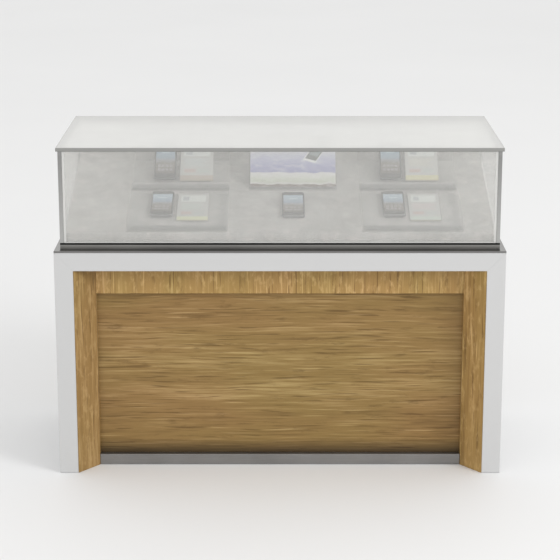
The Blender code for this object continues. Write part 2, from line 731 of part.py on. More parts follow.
def make_sliding_doors():
    half = CASE_HALF_WIDTH - GLASS - GAP
    track_half = CASE_HALF_WIDTH - CHANNEL_WIDTH - GAP
    lower = track_outline(DECK_TOP + GAP, LOWER_TRACK_HEIGHT, 1)
    upper = track_outline(GLASS_TOP - GAP, UPPER_TRACK_HEIGHT, -1)
    prism("lower_door_track", [lower], -track_half, track_half, "X", "aluminium")
    prism("upper_door_track", [upper], -half, half, "X", "aluminium")
    bottom = DECK_TOP + TRACK_BASE + 2 * GAP
    top = GLASS_TOP - UPPER_TRACK_HEIGHT + DOOR_UP_IN_TRACK
    for groove, (side, sign) in enumerate(SIDES):
        play = (TRACK_GROOVE - DOOR_GLASS) / 2
        y0 = TRACK_Y + TRACK_FIN + play + groove * (TRACK_FIN + TRACK_GROOVE)
        outer = sign * (track_half - 0.0005)
        inner = -sign * DOOR_OVERLAP / 2
        low = (min(outer, inner), y0, bottom)
        high = (max(outer, inner), y0 + DOOR_GLASS, top)
        name = f"{side}_glass_door"
        axis = pivot(f"{name}_slide", ((outer + inner) / 2, y0, bottom))
        pane = attach(box(name, low, high, "glass", 0.0005), axis)
        grip = Vector((outer - sign * GRIP_INSET, y0 + DOOR_GLASS, (bottom + top) / 2 + GRIP_RISE))
        low = grip - Vector((GRIP.x / 2, GRIP.y, GRIP.z / 2))
        high = grip + Vector((GRIP.x / 2, 2 * GRIP.y, GRIP.z / 2))
        rounding = 0.95 * GRIP.y
        boolean(pane, cutter_boxes(f"{side}_finger_grip", [(low, high)], rounding), "DIFFERENCE")


# ---- display board and its fittings -------------------------------------------------------
def board_z(y):
    """Height of the board's upper face at a depth y."""
    return BOARD_FRONT_Z + (y - BOARD_FRONT_Y) * tan(BOARD_SLOPE)


def make_board():
    drop = BOARD_THICK / cos(BOARD_SLOPE)
    front = BOARD_FRONT_Y + GAP
    rear = BOARD_REAR_Y
    section = [
        (front, board_z(front)), (rear, board_z(rear)),
        (rear, board_z(rear) - drop), (front, board_z(front) - drop),
    ]
    prism("display_board", [section], -BOARD_HALF_WIDTH, BOARD_HALF_WIDTH, "X", "laminate")

    under = drop + GAP * 2
    plan = open_frame_outline(BOARD_HALF_WIDTH, front, rear, BOARD_THICK)
    riser = as_mesh(prism("board_riser", [plan], DECK_TOP + GAP, board_z(rear), "Z", "laminate"))
    before = front - BOARD_THICK
    beyond = rear + BOARD_THICK
    above = board_z(rear) + BOARD_THICK
    wedge = [
        (before, board_z(before) - under), (beyond, board_z(beyond) - under),
        (beyond, above), (before, above),
    ]
    cutter = as_mesh(prism("riser_slope", [wedge], -HALF_W, HALF_W, "X", "laminate"))
    boolean(riser, cutter, "DIFFERENCE")


def make_tray(name, station, slope):
    """A shallow open tray whose front lip stands at the given place on the slope."""
    size = Vector((TRAY_WIDTH, TRAY_DEPTH, LIP_HEIGHT))
    location = (station, LOWER_ROW + TRAY_DEPTH / 2, GAP + LIP_HEIGHT / 2)
    return open_box(link(name, cube_mesh(name, size), "acrylic", location, parent=slope), ACRYLIC)


def make_easel(name, station, slope):
    """A folded sheet: a front lip, a base, a sloping rest and a rear leg."""
    base = GAP + ACRYLIC / 2
    fold = UPPER_ROW + EASEL_BASE
    top_s = fold + EASEL_REST * cos(EASEL_ANGLE)
    top_n = base + EASEL_REST * sin(EASEL_ANGLE)
    path = [(UPPER_ROW, LIP_HEIGHT), (UPPER_ROW, base), (fold, base), (top_s, top_n)]
    outline = folded_sheet(path + [(top_s + EASEL_FOOT, base)], ACRYLIC)
    easel = prism(name, [outline], -TRAY_WIDTH / 2, TRAY_WIDTH / 2, "X", "acrylic", slope)
    easel.location.x = station
    return easel


def make_picture_panel(slope):
    """A folded sign holder: a ledge, a sloping face and a rear leg."""
    base = GAP + ACRYLIC / 2
    fold = UPPER_ROW + PICTURE_LEDGE
    top_s = fold + PICTURE_HEIGHT * cos(PICTURE_ANGLE)
    top_n = base + PICTURE_HEIGHT * sin(PICTURE_ANGLE)
    path = [(UPPER_ROW, PICTURE_LEDGE), (UPPER_ROW, base), (fold, base), (top_s, top_n)]
    outline = folded_sheet(path + [(top_s + PICTURE_FOOT, base)], ACRYLIC)
    half = PICTURE_WIDTH / 2
    panel = prism("picture_panel", [outline], -half, half, "X", "acrylic", slope)
    panel.location.x = CENTRE_STATION
    return panel


def make_handset(name, location, tilt, slope):
    outline = rounded_rectangle(HANDSET.x, HANDSET.y, HANDSET_CORNER)
    curve = outline_curve(name, [outline], HANDSET.z)
    return link(name, curve, "handset_shell", location, (tilt, 0, 0), slope)


def make_display():
    slope = pivot("board_frame", (0, BOARD_FRONT_Y, BOARD_FRONT_Z), (BOARD_SLOPE, 0, 0))
    on_tray = 2 * GAP + ACRYLIC + HANDSET.z / 2
    fold = UPPER_ROW + EASEL_BASE
    along = HANDSET_FOOT + HANDSET.y / 2
    out = ACRYLIC / 2 + GAP + HANDSET.z / 2
    upper_s = fold + along * cos(EASEL_ANGLE) - out * sin(EASEL_ANGLE)
    upper_n = GAP + ACRYLIC / 2 + along * sin(EASEL_ANGLE) + out * cos(EASEL_ANGLE)
    for side, station in (("left", LEFT_STATION), ("right", RIGHT_STATION)):
        make_tray(f"lower_{side}_tray", station, slope)
        make_easel(f"upper_{side}_easel", station, slope)
        x = station + HANDSET_OFFSET
        make_handset(f"lower_{side}_handset", (x, LOWER_HANDSET, on_tray), 0, slope)
        make_handset(f"upper_{side}_handset", (x, upper_s, upper_n), EASEL_ANGLE, slope)
    make_handset("centre_handset", (CENTRE_STATION, LOWER_HANDSET, GAP + HANDSET.z / 2), 0, slope)
    make_picture_panel(slope)


# ---- build --------------------------------------------------------------------------------
clear_scene()
PARTS = make_collection("checkout_counter")
CUTTERS = make_collection("cutters")
make_frame()
make_front()
make_cabinet()
for door_side, door_sign in SIDES:
    make_door(door_side, door_sign)
make_drawer()
make_case()
make_sliding_doors()
make_board()
make_display()
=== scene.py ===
"""The looks of a retail display and checkout counter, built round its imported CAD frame.

The boards, panes and rails are the frame's own nodes with procedural finishes. The handles, the
lock and the display handsets are finer pieces that stand for their nodes. The price cards, the
printed sign and the filler in the white frame's mitres are added. Metres, +Z up; the customer is
at -Y and the staff at +Y.
"""
from math import cos, pi, radians, sin, tan

import bmesh
import bpy
from mathutils import Matrix, Vector


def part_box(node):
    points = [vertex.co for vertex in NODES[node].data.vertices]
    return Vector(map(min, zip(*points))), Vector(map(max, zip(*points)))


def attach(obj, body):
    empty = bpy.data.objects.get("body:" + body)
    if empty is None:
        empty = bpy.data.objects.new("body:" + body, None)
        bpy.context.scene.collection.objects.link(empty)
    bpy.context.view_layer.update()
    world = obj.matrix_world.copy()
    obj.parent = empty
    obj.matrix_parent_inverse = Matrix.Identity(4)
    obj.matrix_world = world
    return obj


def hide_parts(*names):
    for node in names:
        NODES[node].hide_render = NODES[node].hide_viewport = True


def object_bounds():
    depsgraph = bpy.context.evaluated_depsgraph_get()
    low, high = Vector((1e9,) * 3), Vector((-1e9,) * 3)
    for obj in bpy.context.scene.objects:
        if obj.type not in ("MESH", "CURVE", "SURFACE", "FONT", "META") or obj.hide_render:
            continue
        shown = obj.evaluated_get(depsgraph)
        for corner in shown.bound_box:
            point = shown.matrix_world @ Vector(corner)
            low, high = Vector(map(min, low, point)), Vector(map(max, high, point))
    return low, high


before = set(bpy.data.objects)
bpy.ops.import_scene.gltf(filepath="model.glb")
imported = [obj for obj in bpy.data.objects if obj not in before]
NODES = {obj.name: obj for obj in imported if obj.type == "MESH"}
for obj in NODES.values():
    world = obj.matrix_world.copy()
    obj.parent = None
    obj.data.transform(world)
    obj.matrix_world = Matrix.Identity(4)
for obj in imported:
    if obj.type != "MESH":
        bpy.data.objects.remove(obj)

CAD_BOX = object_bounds()
SIDES = (("left", -1), ("right", 1))

# ---- camera and light ---------------------------------------------------------------------
EYE_AHEAD = 4.500               # from the white frame's front face to the eye
EYE_HEIGHT = 1.788
CAMERA_PITCH = radians(13.60)
CAMERA_LENS = 112.8
CAMERA_SHIFT = -0.10
WORLD_LIGHT = 0.98
KEY_PLACE = Vector((7.4, -5.6, 4.8))
KEY_SIZE = 4.0
KEY_POWER = 400.0
FILL_PLACE = Vector((-3.0, -4.0, 2.4))
FILL_SIZE = 3.5
FILL_POWER = 12.0
FLOOR_HALF = 60.0
FLOOR_DROP = 0.0005
LIGHT_TARGET = Vector((0, 0, 0.4))

# ---- display board's own frame: x along the board, s up its slope, n out of it ----------------
ACRYLIC = 0.003
GAP = 0.0003
BOARD_LOW, BOARD_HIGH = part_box("display_board")
BOARD_SLOPE = radians(18)
BOARD_FRONT_Z = BOARD_HIGH.z - (BOARD_HIGH.y - BOARD_LOW.y + GAP) * tan(BOARD_SLOPE)
UPPER_ROW = 0.226
EASEL_FOLD = UPPER_ROW + 0.040
EASEL_TILT = radians(27)
PICTURE_FOLD = UPPER_ROW + 0.010
PICTURE_TILT = radians(37)

# ---- printed sheets: width and height, and how far the top edge curls up ------------------------
CARD_THICK = 0.0006
CARD_OFFSET = 0.038             # from the middle of a tray to the middle of its card
LOWER_CARD = (0.084, 0.141)
LOWER_CARD_FOOT = 0.058         # up the board's slope
LOWER_CURL = 0.004
UPPER_CARD = (0.092, 0.118)
UPPER_CARD_STEP = 0.004         # up the stand, and aside from the card below
UPPER_CURL = 0.002
SIGN_HEIGHT = 0.159
SIGN_MARGIN = 0.003
SIGN_CURL = 0.0005
SHEET_COLUMNS = 8
SHEET_ROWS = 16
SHEET_FLAT = 0.45               # the share of a sheet's height that lies flat
SHEET_BOW = 0.15

# ---- handsets -----------------------------------------------------------------------------
HANDSET_SIZE = (0.062, 0.124)
HANDSET_THICK = 0.010
HANDSET_CORNER = 0.0088
SHELL_EDGE = 0.0026
SHELL_DROP = 0.0006             # from the face down to the shell's rim
SCREEN_MARGINS = (0.0090, 0.0310)
SCREEN_CORNER = 0.0008
SCREEN_SHIFT = 0.0010
KEY_INSET = 0.0082
EAR_INSET = 0.0078
EAR_SLOT = (0.0110, 0.0014)
EYE_OFFSET = -0.012
SIDE_BUTTONS = (0.030, 0.018)   # above the middle
BUTTON_SIZE = (0.0022, 0.0085)

# ---- handles and lock -----------------------------------------------------------------------
TO_STAFF = Matrix.Rotation(-pi / 2, 4, "X")     # turns Z towards the staff side
HANDLE_BEND = 0.012
BEND_STEPS = 8
ROSE_LIP = 0.0018
ROSE_EDGE = 0.0010
ROSE_THICK = 0.0016
LOCK_BORE = 0.0063
FLANGE_LIP = 0.002
THREAD_TURNS = 12
THREAD_START = 0.004
THREAD_MARGIN = 0.006
THREAD_DEPTH = 0.0005
THREAD_STEP = 0.0006
PLUG_RADIUS = 0.0060
KEYWAY_DEPTH = 0.001
CAM_HEEL = 0.004
CAM_WIDTH = 0.009
CAM_CORNER = 0.0044
CAM_THICK = 0.002
CAM_EDGE = 0.0004
CAM_INSET = 0.0015
AXIS_RADIUS = 0.00001           # closes a turned piece at its axis
CORNER_STEPS = 8
CORNER_LEAST = 0.0002
TUBE_SIDES = 24
LATHE_SIDES = 48

# ---- frame and showcase -----------------------------------------------------------------------
FRAME_HALF = CAD_BOX[1].x
MITRE_HALF = 0.00035            # half the width of the glued mitre's gap, across it
DECK_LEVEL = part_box("deck_plate")[1].z
# a pale border of painted highlight along the front pane's polished side and lower edges
RIM_HIGHLIGHT = 0.80
SIDE_HIGHLIGHT = 0.006
LOW_HIGHLIGHT = 0.003
GLEAM_LEAST = 0.035
GLEAM_RISE = 0.80
GLEAM_POWER = 5.0
FILM_THROUGH = 0.35             # the share of the painted reflection film's light that goes on through it
FACE_LEAST = 0.9                # a surface's normal along the sheet's axis, for a face
PANE_GLOSS = 0.04
PANE_CLEAR = (0.985, 0.985, 0.98, 1.0)

# ---- finishes -----------------------------------------------------------------------------
WHITE = (0.535, 0.535, 0.535)
MELAMINE = (0.66, 0.66, 0.65)
OAK_LIGHT = (0.45, 0.311, 0.136)
OAK_MID = (0.266, 0.165, 0.055)
OAK_DARK = (0.120, 0.066, 0.018)
# painted shade at the front panel's foot, for the contact shadow above the plinth
OAK_PAINTED_SHADE = (0.030, 0.019, 0.008)
GRAIN_MEAN = 0.745
# how high the painted shade reaches up the front panel
PAINTED_SHADE_HEIGHT = 0.040
BRUSH_LINES = 900.0             # per metre, across the brushing
BRUSH_BREAKS = 9.0              # per metre, along it
STEEL = (0.50, 0.49, 0.47)
DARK_STEEL = (0.22, 0.216, 0.21)
# painted shade on the deck's strip in front of the channel: its colour, strength and margin
PAINTED_SHADE_STEEL = (0.028, 0.027, 0.026)
PAINTED_SHADE_AMOUNT = 0.95
PAINTED_SHADE_MARGIN = 0.0015            # from the deck's front edge to the strip of painted shade
CHANNEL_STEEL = (0.27, 0.264, 0.252)
PLINTH_STEEL = (0.29, 0.285, 0.28)
ALUMINIUM = (0.62, 0.62, 0.62)
CHROME = (0.80, 0.80, 0.81)
RUBBER = (0.004, 0.004, 0.004)
PLASTIC = (0.022, 0.022, 0.024)
LAMINATE = (0.47, 0.465, 0.45)
LAMINATE_CLOUD = (0.375, 0.370, 0.350)
LAMINATE_FLECK = (0.27, 0.262, 0.25)
LAMINATE_VEIN = (0.60, 0.55, 0.54)
# the right reveal's tone is raised as painted light, to match the left reveal, which the key light
# falls on
UPRIGHT_TONES_AND_LIGHT = {"left_reveal": 1.00, "right_reveal": 1.42, "left_door": 1.2, "right_door": 1.2}
PAPER = (0.50, 0.50, 0.485)
PAPER_CLOUD = (0.45, 0.45, 0.43)
# the pale film on the panes' faces: painted reflection of the bright room
REFLECTION_VEIL = (0.78, 0.775, 0.76)
LIT_THROUGH = (0.97, 0.97, 0.965)


# ---- node helpers -------------------------------------------------------------------------
def add(tree, kind, inputs=None, **settings):
    """A shader node with its settings, and its inputs set or linked."""
    node = tree.nodes.new(kind)
    for name, value in settings.items():
        setattr(node, name, value)
    for name, value in (inputs or {}).items():
        if isinstance(value, bpy.types.NodeSocket):
            tree.links.new(value, node.inputs[name])
        else:
            node.inputs[name].default_value = value
    return node


def calc(tree, operation, *values):
    """The result of a Math node."""
    return add(tree, "ShaderNodeMath", dict(enumerate(values)), operation=operation).outputs[0]


def scaled(tree, vector, factors):
    """A vector multiplied by one factor for each axis."""
    inputs = {0: vector, 1: factors}
    return add(tree, "ShaderNodeVectorMath", inputs, operation="MULTIPLY").outputs[0]


def noise(tree, vector, factors, detail=2.0, roughness=0.5):
    """Noise from 0 to 1 whose features are stretched by the factors, in features per metre."""
    place = scaled(tree, vector, factors)
    inputs = {"Vector": place, "Scale": 1.0, "Detail": detail, "Roughness": roughness}
    return add(tree, "ShaderNodeTexNoise", inputs).outputs["Fac"]


def ramp(tree, value, stops):
    """A colour ramp; each stop is a position and a grey level or a colour."""
    node = add(tree, "ShaderNodeValToRGB", {"Fac": value})
    elements = node.color_ramp.elements
    while len(elements) < len(stops):
        elements.new(0.5)
    for element, (position, colour) in zip(elements, stops):
        element.position = position
        level = colour if isinstance(colour, tuple) else (colour, colour, colour)
        element.color = (*level, 1.0)
    return node.outputs["Color"]


def mixed(tree, factor, first, second, blend="MIX"):
    """Two colours or levels, mixed or blended by a factor."""
    node = add(tree, "ShaderNodeMix", data_type="RGBA", blend_type=blend)
    for socket, value in ((0, factor), (6, first), (7, second)):
        if isinstance(value, bpy.types.NodeSocket):
            tree.links.new(value, node.inputs[socket])
        else:
            node.inputs[socket].default_value = (*value, 1.0) if isinstance(value, tuple) else value
    return node.outputs[2]


def between(tree, value, low, high):
    """A value from 0 to 1 moved to the span from low to high."""
    inputs = {"Value": value, "To Min": low, "To Max": high}
    return add(tree, "ShaderNodeMapRange", inputs).outputs[0]


def bumped(tree, height, strength, distance):
    """A normal that follows a height."""
    inputs = {"Height": height, "Strength": strength, "Distance": distance}
    return add(tree, "ShaderNodeBump", inputs).outputs[0]


def new_material(name, **values):
    """A Principled material, its tree, its shader and its place in the row frame."""
    material = bpy.data.materials.new(name)
    material.use_nodes = True
    tree = material.node_tree
    shader = tree.nodes["Principled BSDF"]
    for key, value in values.items():
        shader.inputs[key.replace("_", " ")].default_value = value
    place = add(tree, "ShaderNodeTexCoord").outputs["Object"]
    return material, tree, shader, place


def wire(tree, shader, **sockets):
    """Link sockets to the shader's inputs, named with underscores for spaces."""
    for key, socket in sockets.items():
        tree.links.new(socket, shader.inputs[key.replace("_", " ")])


# ---- finishes -----------------------------------------------------------------------------
def lacquer(name, colour, roughness, peel):
    """Sprayed or pressed white finish: faint orange peel, faint handling marks."""
    material, tree, shader, place = new_material(name, Coat_Weight=0.15, Coat_Roughness=0.25)
    cloud = noise(tree, place, (5, 5, 5), detail=4)
    shade = mixed(tree, between(tree, cloud, 0.0, 0.10), colour, tuple(c * 0.86 for c in colour))
    speck = noise(tree, place, (peel, peel, peel), detail=1)
    smear = noise(tree, place, (9, 9, 2), detail=3)
    rough = between(tree, smear, roughness - 0.07, roughness + 0.09)
    normal = bumped(tree, speck, 0.06, 0.0004)
    wire(tree, shader, Base_Color=shade, Roughness=rough, Normal=normal)
    return material


def oak(name, grain, seed, tone=1.0, figure=1.0, rays=0.0, foot=None):
    """Straight-grained oak veneer under matt lacquer; grain is the axis that it runs along.

    figure is how strongly it is streaked and rays how much light fleck it shows. foot is the level
    above which the front is darkened with painted shade, for the contact shadow over the plinth,
    and how far back that front reaches.
    """
    sheen = {"Coat_Weight": 0.05, "Coat_Roughness": 0.35, "Specular_IOR_Level": 0.30}
    material, tree, shader, place = new_material(name, **sheen)
    axes = add(tree, "ShaderNodeSeparateXYZ", {0: place})
    order = {"X": "XZY", "Z": "ZXY"}[grain]
    parts = {i: axes.outputs[letter] for i, letter in enumerate(order)}
    lined = add(tree, "ShaderNodeCombineXYZ", parts).outputs[0]
    moved = add(tree, "ShaderNodeVectorMath", {0: lined, 1: (seed * 3.1, seed * 1.7, seed * 0.9)})
    lined = moved.outputs[0]
    drift = noise(tree, lined, (1.6, 5, 5), detail=2)
    sway = add(tree, "ShaderNodeCombineXYZ", {1: between(tree, drift, -0.012, 0.012)}).outputs[0]
    lined = add(tree, "ShaderNodeVectorMath", {0: lined, 1: sway}).outputs[0]

    broad = noise(tree, lined, (1.1, 14, 9), detail=3)
    streak = noise(tree, lined, (5.0, 150, 70), detail=4, roughness=0.6)
    fine = noise(tree, lined, (16, 520, 200), detail=2)
    blend = calc(tree, "MULTIPLY_ADD", broad, 0.55, calc(tree, "MULTIPLY", streak, 0.72))
    blend = calc(tree, "MULTIPLY_ADD", fine, 0.22, blend)
    blend = calc(tree, "MULTIPLY_ADD", blend, figure, GRAIN_MEAN * (1.0 - figure))
    dark, middle, light = (tuple(c * tone for c in s) for s in (OAK_DARK, OAK_MID, OAK_LIGHT))
    colour = ramp(tree, blend, [(0.44, dark), (0.71, middle), (0.77, middle), (1.02, light)])

    dashes = noise(tree, lined, (9, 210, 120), detail=1)
    dark_dash = ramp(tree, dashes, [(0.62, 0.0), (0.72, 1.0)])
    colour = mixed(tree, calc(tree, "MULTIPLY", dark_dash, 0.75), colour, dark)
    flecks = noise(tree, lined, (6, 170, 60), detail=1)
    light_dash = ramp(tree, flecks, [(0.64, 0.0), (0.74, 1.0)])
    colour = mixed(tree, calc(tree, "MULTIPLY", light_dash, 0.65), colour, light)
    knots = noise(tree, lined, (14, 60, 40), detail=4, roughness=0.65)
    shadow = ramp(tree, knots, [(0.58, 0.0), (0.74, 0.55)])
    colour = mixed(tree, shadow, colour, dark)
    glints = noise(tree, lined, (34, 95, 60), detail=3, roughness=0.6)
    patches = noise(tree, lined, (4, 12, 8), detail=2)
    glint = calc(tree, "MULTIPLY", ramp(tree, glints, [(0.52, 0.0), (0.66, 1.0)]), patches)
    colour = mixed(tree, calc(tree, "MULTIPLY", glint, rays), colour, light)
    hue = noise(tree, lined, (2.2, 8, 4), detail=2)
    warm = ramp(tree, hue, [(0.35, (0.97, 1.0, 0.93)), (0.65, (1.03, 0.985, 1.0))])
    colour = mixed(tree, 1.0, colour, warm, "MULTIPLY")

    # Painted shade: the front darkens towards its foot, for the contact shadow above the plinth.
    if foot is not None:
        level, depth = foot
        above = calc(tree, "SUBTRACT", axes.outputs["Z"], level)
        height = calc(tree, "DIVIDE", above, PAINTED_SHADE_HEIGHT)
        stops = [(0.0, 0.85), (0.15, 0.78), (0.33, 0.60), (0.60, 0.38), (1.0, 0.0)]
        painted_shade = ramp(tree, height, stops)
        front = calc(tree, "LESS_THAN", axes.outputs["Y"], depth)
        colour = mixed(tree, calc(tree, "MULTIPLY", painted_shade, front), colour, OAK_PAINTED_SHADE)
    pores = noise(tree, lined, (45, 1300, 600), detail=1)
    pits = ramp(tree, pores, [(0.60, 1.0), (0.70, 0.0)])
    normal = bumped(tree, calc(tree, "MULTIPLY_ADD", streak, 0.35, pits), 0.18, 0.00025)
    rough = between(tree, streak, 0.62, 0.44)
    wire(tree, shader, Base_Color=colour, Roughness=rough, Normal=normal)
    return material


def brushed_metal(name, colour, roughness, along, foot=None):
    """Metal with fine brushing lines along one axis, and faint clouds.

    foot is the near and far edge and half the length of a strip darkened with painted shade.
    """
    material, tree, shader, place = new_material(name, Metallic=1.0)
    stretch = tuple(BRUSH_BREAKS if axis == along else BRUSH_LINES for axis in "XYZ")
    lines = noise(tree, place, stretch, detail=3, roughness=0.7)
    cloud = noise(tree, place, (7, 7, 7), detail=3)
    shade = calc(tree, "MULTIPLY_ADD", lines, 0.5, calc(tree, "MULTIPLY", cloud, 0.5))
    darker = tuple(c * 0.80 for c in colour)
    lighter = tuple(min(1.0, c * 1.16) for c in colour)
    tint = ramp(tree, shade, [(0.30, darker), (0.70, lighter)])
    # Painted shade: a dark strip on the deck just in front of the channel.
    if foot:
        axes = add(tree, "ShaderNodeSeparateXYZ", {0: place}).outputs
        near, far, half = foot
        before = calc(tree, "COMPARE", axes[1], (near + far) / 2, (far - near) / 2)
        inside = calc(tree, "LESS_THAN", calc(tree, "ABSOLUTE", axes[0]), half)
        painted_shade_strip = calc(tree, "MULTIPLY", calc(tree, "MULTIPLY", before, inside), PAINTED_SHADE_AMOUNT)
        tint = mixed(tree, painted_shade_strip, tint, PAINTED_SHADE_STEEL)
    rough = between(tree, shade, roughness - 0.05, roughness + 0.12)
    wire(tree, shader, Base_Color=tint, Roughness=rough, Normal=bumped(tree, lines, 0.12, 0.0001))
    return material


def polished_metal(name, colour, roughness):
    """Smooth metal with faint clouds of handling marks."""
    material, tree, shader, place = new_material(name, Metallic=1.0)
    cloud = noise(tree, place, (60, 60, 60), detail=3)
    tint = mixed(tree, between(tree, cloud, 0.0, 0.35), colour, tuple(c * 0.75 for c in colour))
    rough = between(tree, cloud, roughness * 0.6, roughness * 1.8)
    wire(tree, shader, Base_Color=tint, Roughness=rough)
    return material


def moulded(name, colour, roughness, grain=1400.0, sheen=0.5):
    """Moulded plastic or rubber with a fine spark-eroded grain and lighter rubbed spots."""
    material, tree, shader, place = new_material(name, Specular_IOR_Level=sheen)
    pebble = noise(tree, place, (grain, grain, grain), detail=2)
    rub = noise(tree, place, (25, 25, 25), detail=4)
    lighter = tuple(c * 1.9 + 0.004 for c in colour)
    tint = mixed(tree, ramp(tree, rub, [(0.45, 0.0), (0.85, 0.7)]), colour, lighter)
    rough = between(tree, rub, roughness + 0.08, roughness - 0.10)
    wire(tree, shader, Base_Color=tint, Roughness=rough, Normal=bumped(tree, pebble, 0.25, 0.0001))
    return material


def mottled_laminate(name):
    """Pale grey stone-effect laminate: soft clouds, small flecks, a fine pressed texture."""
    material, tree, shader, place = new_material(name)
    cloud = noise(tree, place, (11, 11, 11), detail=5, roughness=0.6)
    tint = ramp(tree, cloud, [(0.34, LAMINATE_CLOUD), (0.62, LAMINATE)])
    fleck = noise(tree, place, (190, 190, 190), detail=2)
    spots = ramp(tree, fleck, [(0.60, 0.0), (0.70, 0.55)])
    tint = mixed(tree, spots, tint, LAMINATE_FLECK)
    veins = noise(tree, place, (28, 28, 28), detail=6, roughness=0.7)
    tint = mixed(tree, ramp(tree, veins, [(0.50, 0.0), (0.66, 0.65)]), tint, LAMINATE_VEIN)
    pressed = noise(tree, place, (800, 800, 800), detail=1)
    rough = between(tree, cloud, 0.50, 0.66)
    wire(tree, shader, Base_Color=tint, Roughness=rough, Normal=bumped(tree, pressed, 0.15, 0.0001))
    return material


def pane(name, facing, reflection_veil, edge_colour, rims=None):
    """Clear sheet seen through its faces, with solid-looking cut edges.

    facing is the axis across the sheet. The faces carry a faint pale film, painted reflection of
    the bright room round it, and a gloss; the edges show the sheet's own tint and the fine lines
    left by polishing. rims is how far out and how low the clear part of the sheet goes, before a
    pale border of painted highlight round it, for the light that its polished edges catch.
    """
    material, tree, shader, place = new_material(name, Roughness=PANE_GLOSS, IOR=1.5)
    smear = noise(tree, place, (4, 4, 7), detail=4)
    clear = add(tree, "ShaderNodeBsdfTransparent", {"Color": PANE_CLEAR})
    shine = add(tree, "ShaderNodeBsdfGlossy", {"Color": (1, 1, 1, 1), "Roughness": PANE_GLOSS})
    near = add(tree, "ShaderNodeBsdfDiffuse", {"Color": (*REFLECTION_VEIL, 1.0)})
    far = add(tree, "ShaderNodeBsdfTranslucent", {"Color": (*REFLECTION_VEIL, 1.0)})
    layers = {0: FILM_THROUGH, 1: near.outputs[0], 2: far.outputs[0]}
    reflection_film = add(tree, "ShaderNodeMixShader", layers)
    turned = add(tree, "ShaderNodeLayerWeight", {"Blend": 0.5}).outputs["Facing"]
    glancing = calc(tree, "POWER", turned, GLEAM_POWER)
    gleam = calc(tree, "MULTIPLY_ADD", glancing, GLEAM_RISE, GLEAM_LEAST)
    # Painted reflection: a pale film over the faces stands in for the bright room mirrored in the
    # glass.
    haze = between(tree, smear, reflection_veil * 0.90, min(1.0, reflection_veil * 1.10))
    # Painted highlight: a pale border along the polished side and lower edges.
    if rims:
        axes = add(tree, "ShaderNodeSeparateXYZ", {0: place}).outputs
        beside = calc(tree, "GREATER_THAN", calc(tree, "ABSOLUTE", axes[0]), rims[0])
        below = calc(tree, "LESS_THAN", axes[2], rims[1])
        rim_highlight = calc(tree, "MULTIPLY", calc(tree, "MAXIMUM", beside, below), RIM_HIGHLIGHT)
        haze = calc(tree, "MAXIMUM", haze, rim_highlight)
    veiled = add(tree, "ShaderNodeMixShader", {0: haze, 1: clear.outputs[0], 2: reflection_film.outputs[0]})
    face = add(tree, "ShaderNodeMixShader", {0: gleam, 1: veiled.outputs[0], 2: shine.outputs[0]})

    lines = noise(tree, place, (60, 60, 900), detail=2)
    tint = mixed(tree, lines, tuple(c * 0.82 for c in edge_colour), edge_colour)
    level = add(tree, "ShaderNodeSeparateXYZ", {0: place}).outputs[2]
    rise = add(tree, "ShaderNodeMapRange", {0: level, 1: DECK_LEVEL, 2: CAD_BOX[1].z}).outputs[0]
    fade = ramp(tree, rise, [(0.0, 1.35), (0.9, 0.80), (1.0, 1.0)])
    tint = mixed(tree, 1.0, tint, fade, "MULTIPLY")
    rough = between(tree, lines, 0.12, 0.30)
    wire(tree, shader, Base_Color=tint, Roughness=rough)
    normal = add(tree, "ShaderNodeTexCoord").outputs["Normal"]
    across = add(tree, "ShaderNodeSeparateXYZ", {0: normal}).outputs[facing]
    is_face = calc(tree, "GREATER_THAN", calc(tree, "ABSOLUTE", across), FACE_LEAST)
    whole = add(tree, "ShaderNodeMixShader", {0: is_face, 1: shader.outputs[0], 2: face.outputs[0]})
    let_light_through(tree, whole)
    return material


def let_light_through(tree, whole):
    """Clear sheet throws no more than a faint shadow."""
    clear = add(tree, "ShaderNodeBsdfTransparent", {"Color": (*LIT_THROUGH, 1.0)})
    shadow = add(tree, "ShaderNodeLightPath").outputs["Is Shadow Ray"]
    lit = add(tree, "ShaderNodeMixShader", {0: shadow, 1: whole.outputs[0], 2: clear.outputs[0]})
    tree.links.new(lit.outputs[0], tree.nodes["Material Output"].inputs["Surface"])


def clear_acrylic(name):
    """Polished acrylic sheet, nearly clear, brighter where it is seen along its face."""
    material, tree, shader, place = new_material(name, Roughness=0.06, IOR=1.49)
    clear = add(tree, "ShaderNodeBsdfTransparent", {"Color": PANE_CLEAR})
    scuff = noise(tree, place, (40, 40, 40), detail=5, roughness=0.7)
    tint = ramp(tree, scuff, [(0.30, (0.68, 0.68, 0.67)), (0.80, (0.78, 0.78, 0.77))])
    wire(tree, shader, Base_Color=tint)
    rim = add(tree, "ShaderNodeLayerWeight", {"Blend": 0.35}).outputs["Facing"]
    body = between(tree, rim, 0.01, 0.50)
    whole = add(tree, "ShaderNodeMixShader", {0: body, 1: clear.outputs[0], 2: shader.outputs[0]})
    let_light_through(tree, whole)
    return material


def blocks(tree, base, shapes, tilt=0.0, centre=(0.5, 0.5)):
    """Rectangles painted over a base colour, in a printed sheet's own 0 to 1 coordinates."""
    sheet = add(tree, "ShaderNodeTexCoord").outputs["UV"]
    inputs = {"Vector": sheet, "Center": (*centre, 0.0), "Angle": tilt}
    turned = add(tree, "ShaderNodeVectorRotate", inputs).outputs[0]
    axes = add(tree, "ShaderNodeSeparateXYZ", {0: turned})
    for (u0, v0, u1, v1), colour in shapes:
        wide = calc(tree, "COMPARE", axes.outputs[0], (u0 + u1) / 2, (u1 - u0) / 2)
        high = calc(tree, "COMPARE", axes.outputs[1], (v0 + v1) / 2, (v1 - v0) / 2)
        base = mixed(tree, calc(tree, "MULTIPLY", wide, high), base, colour)
    return base


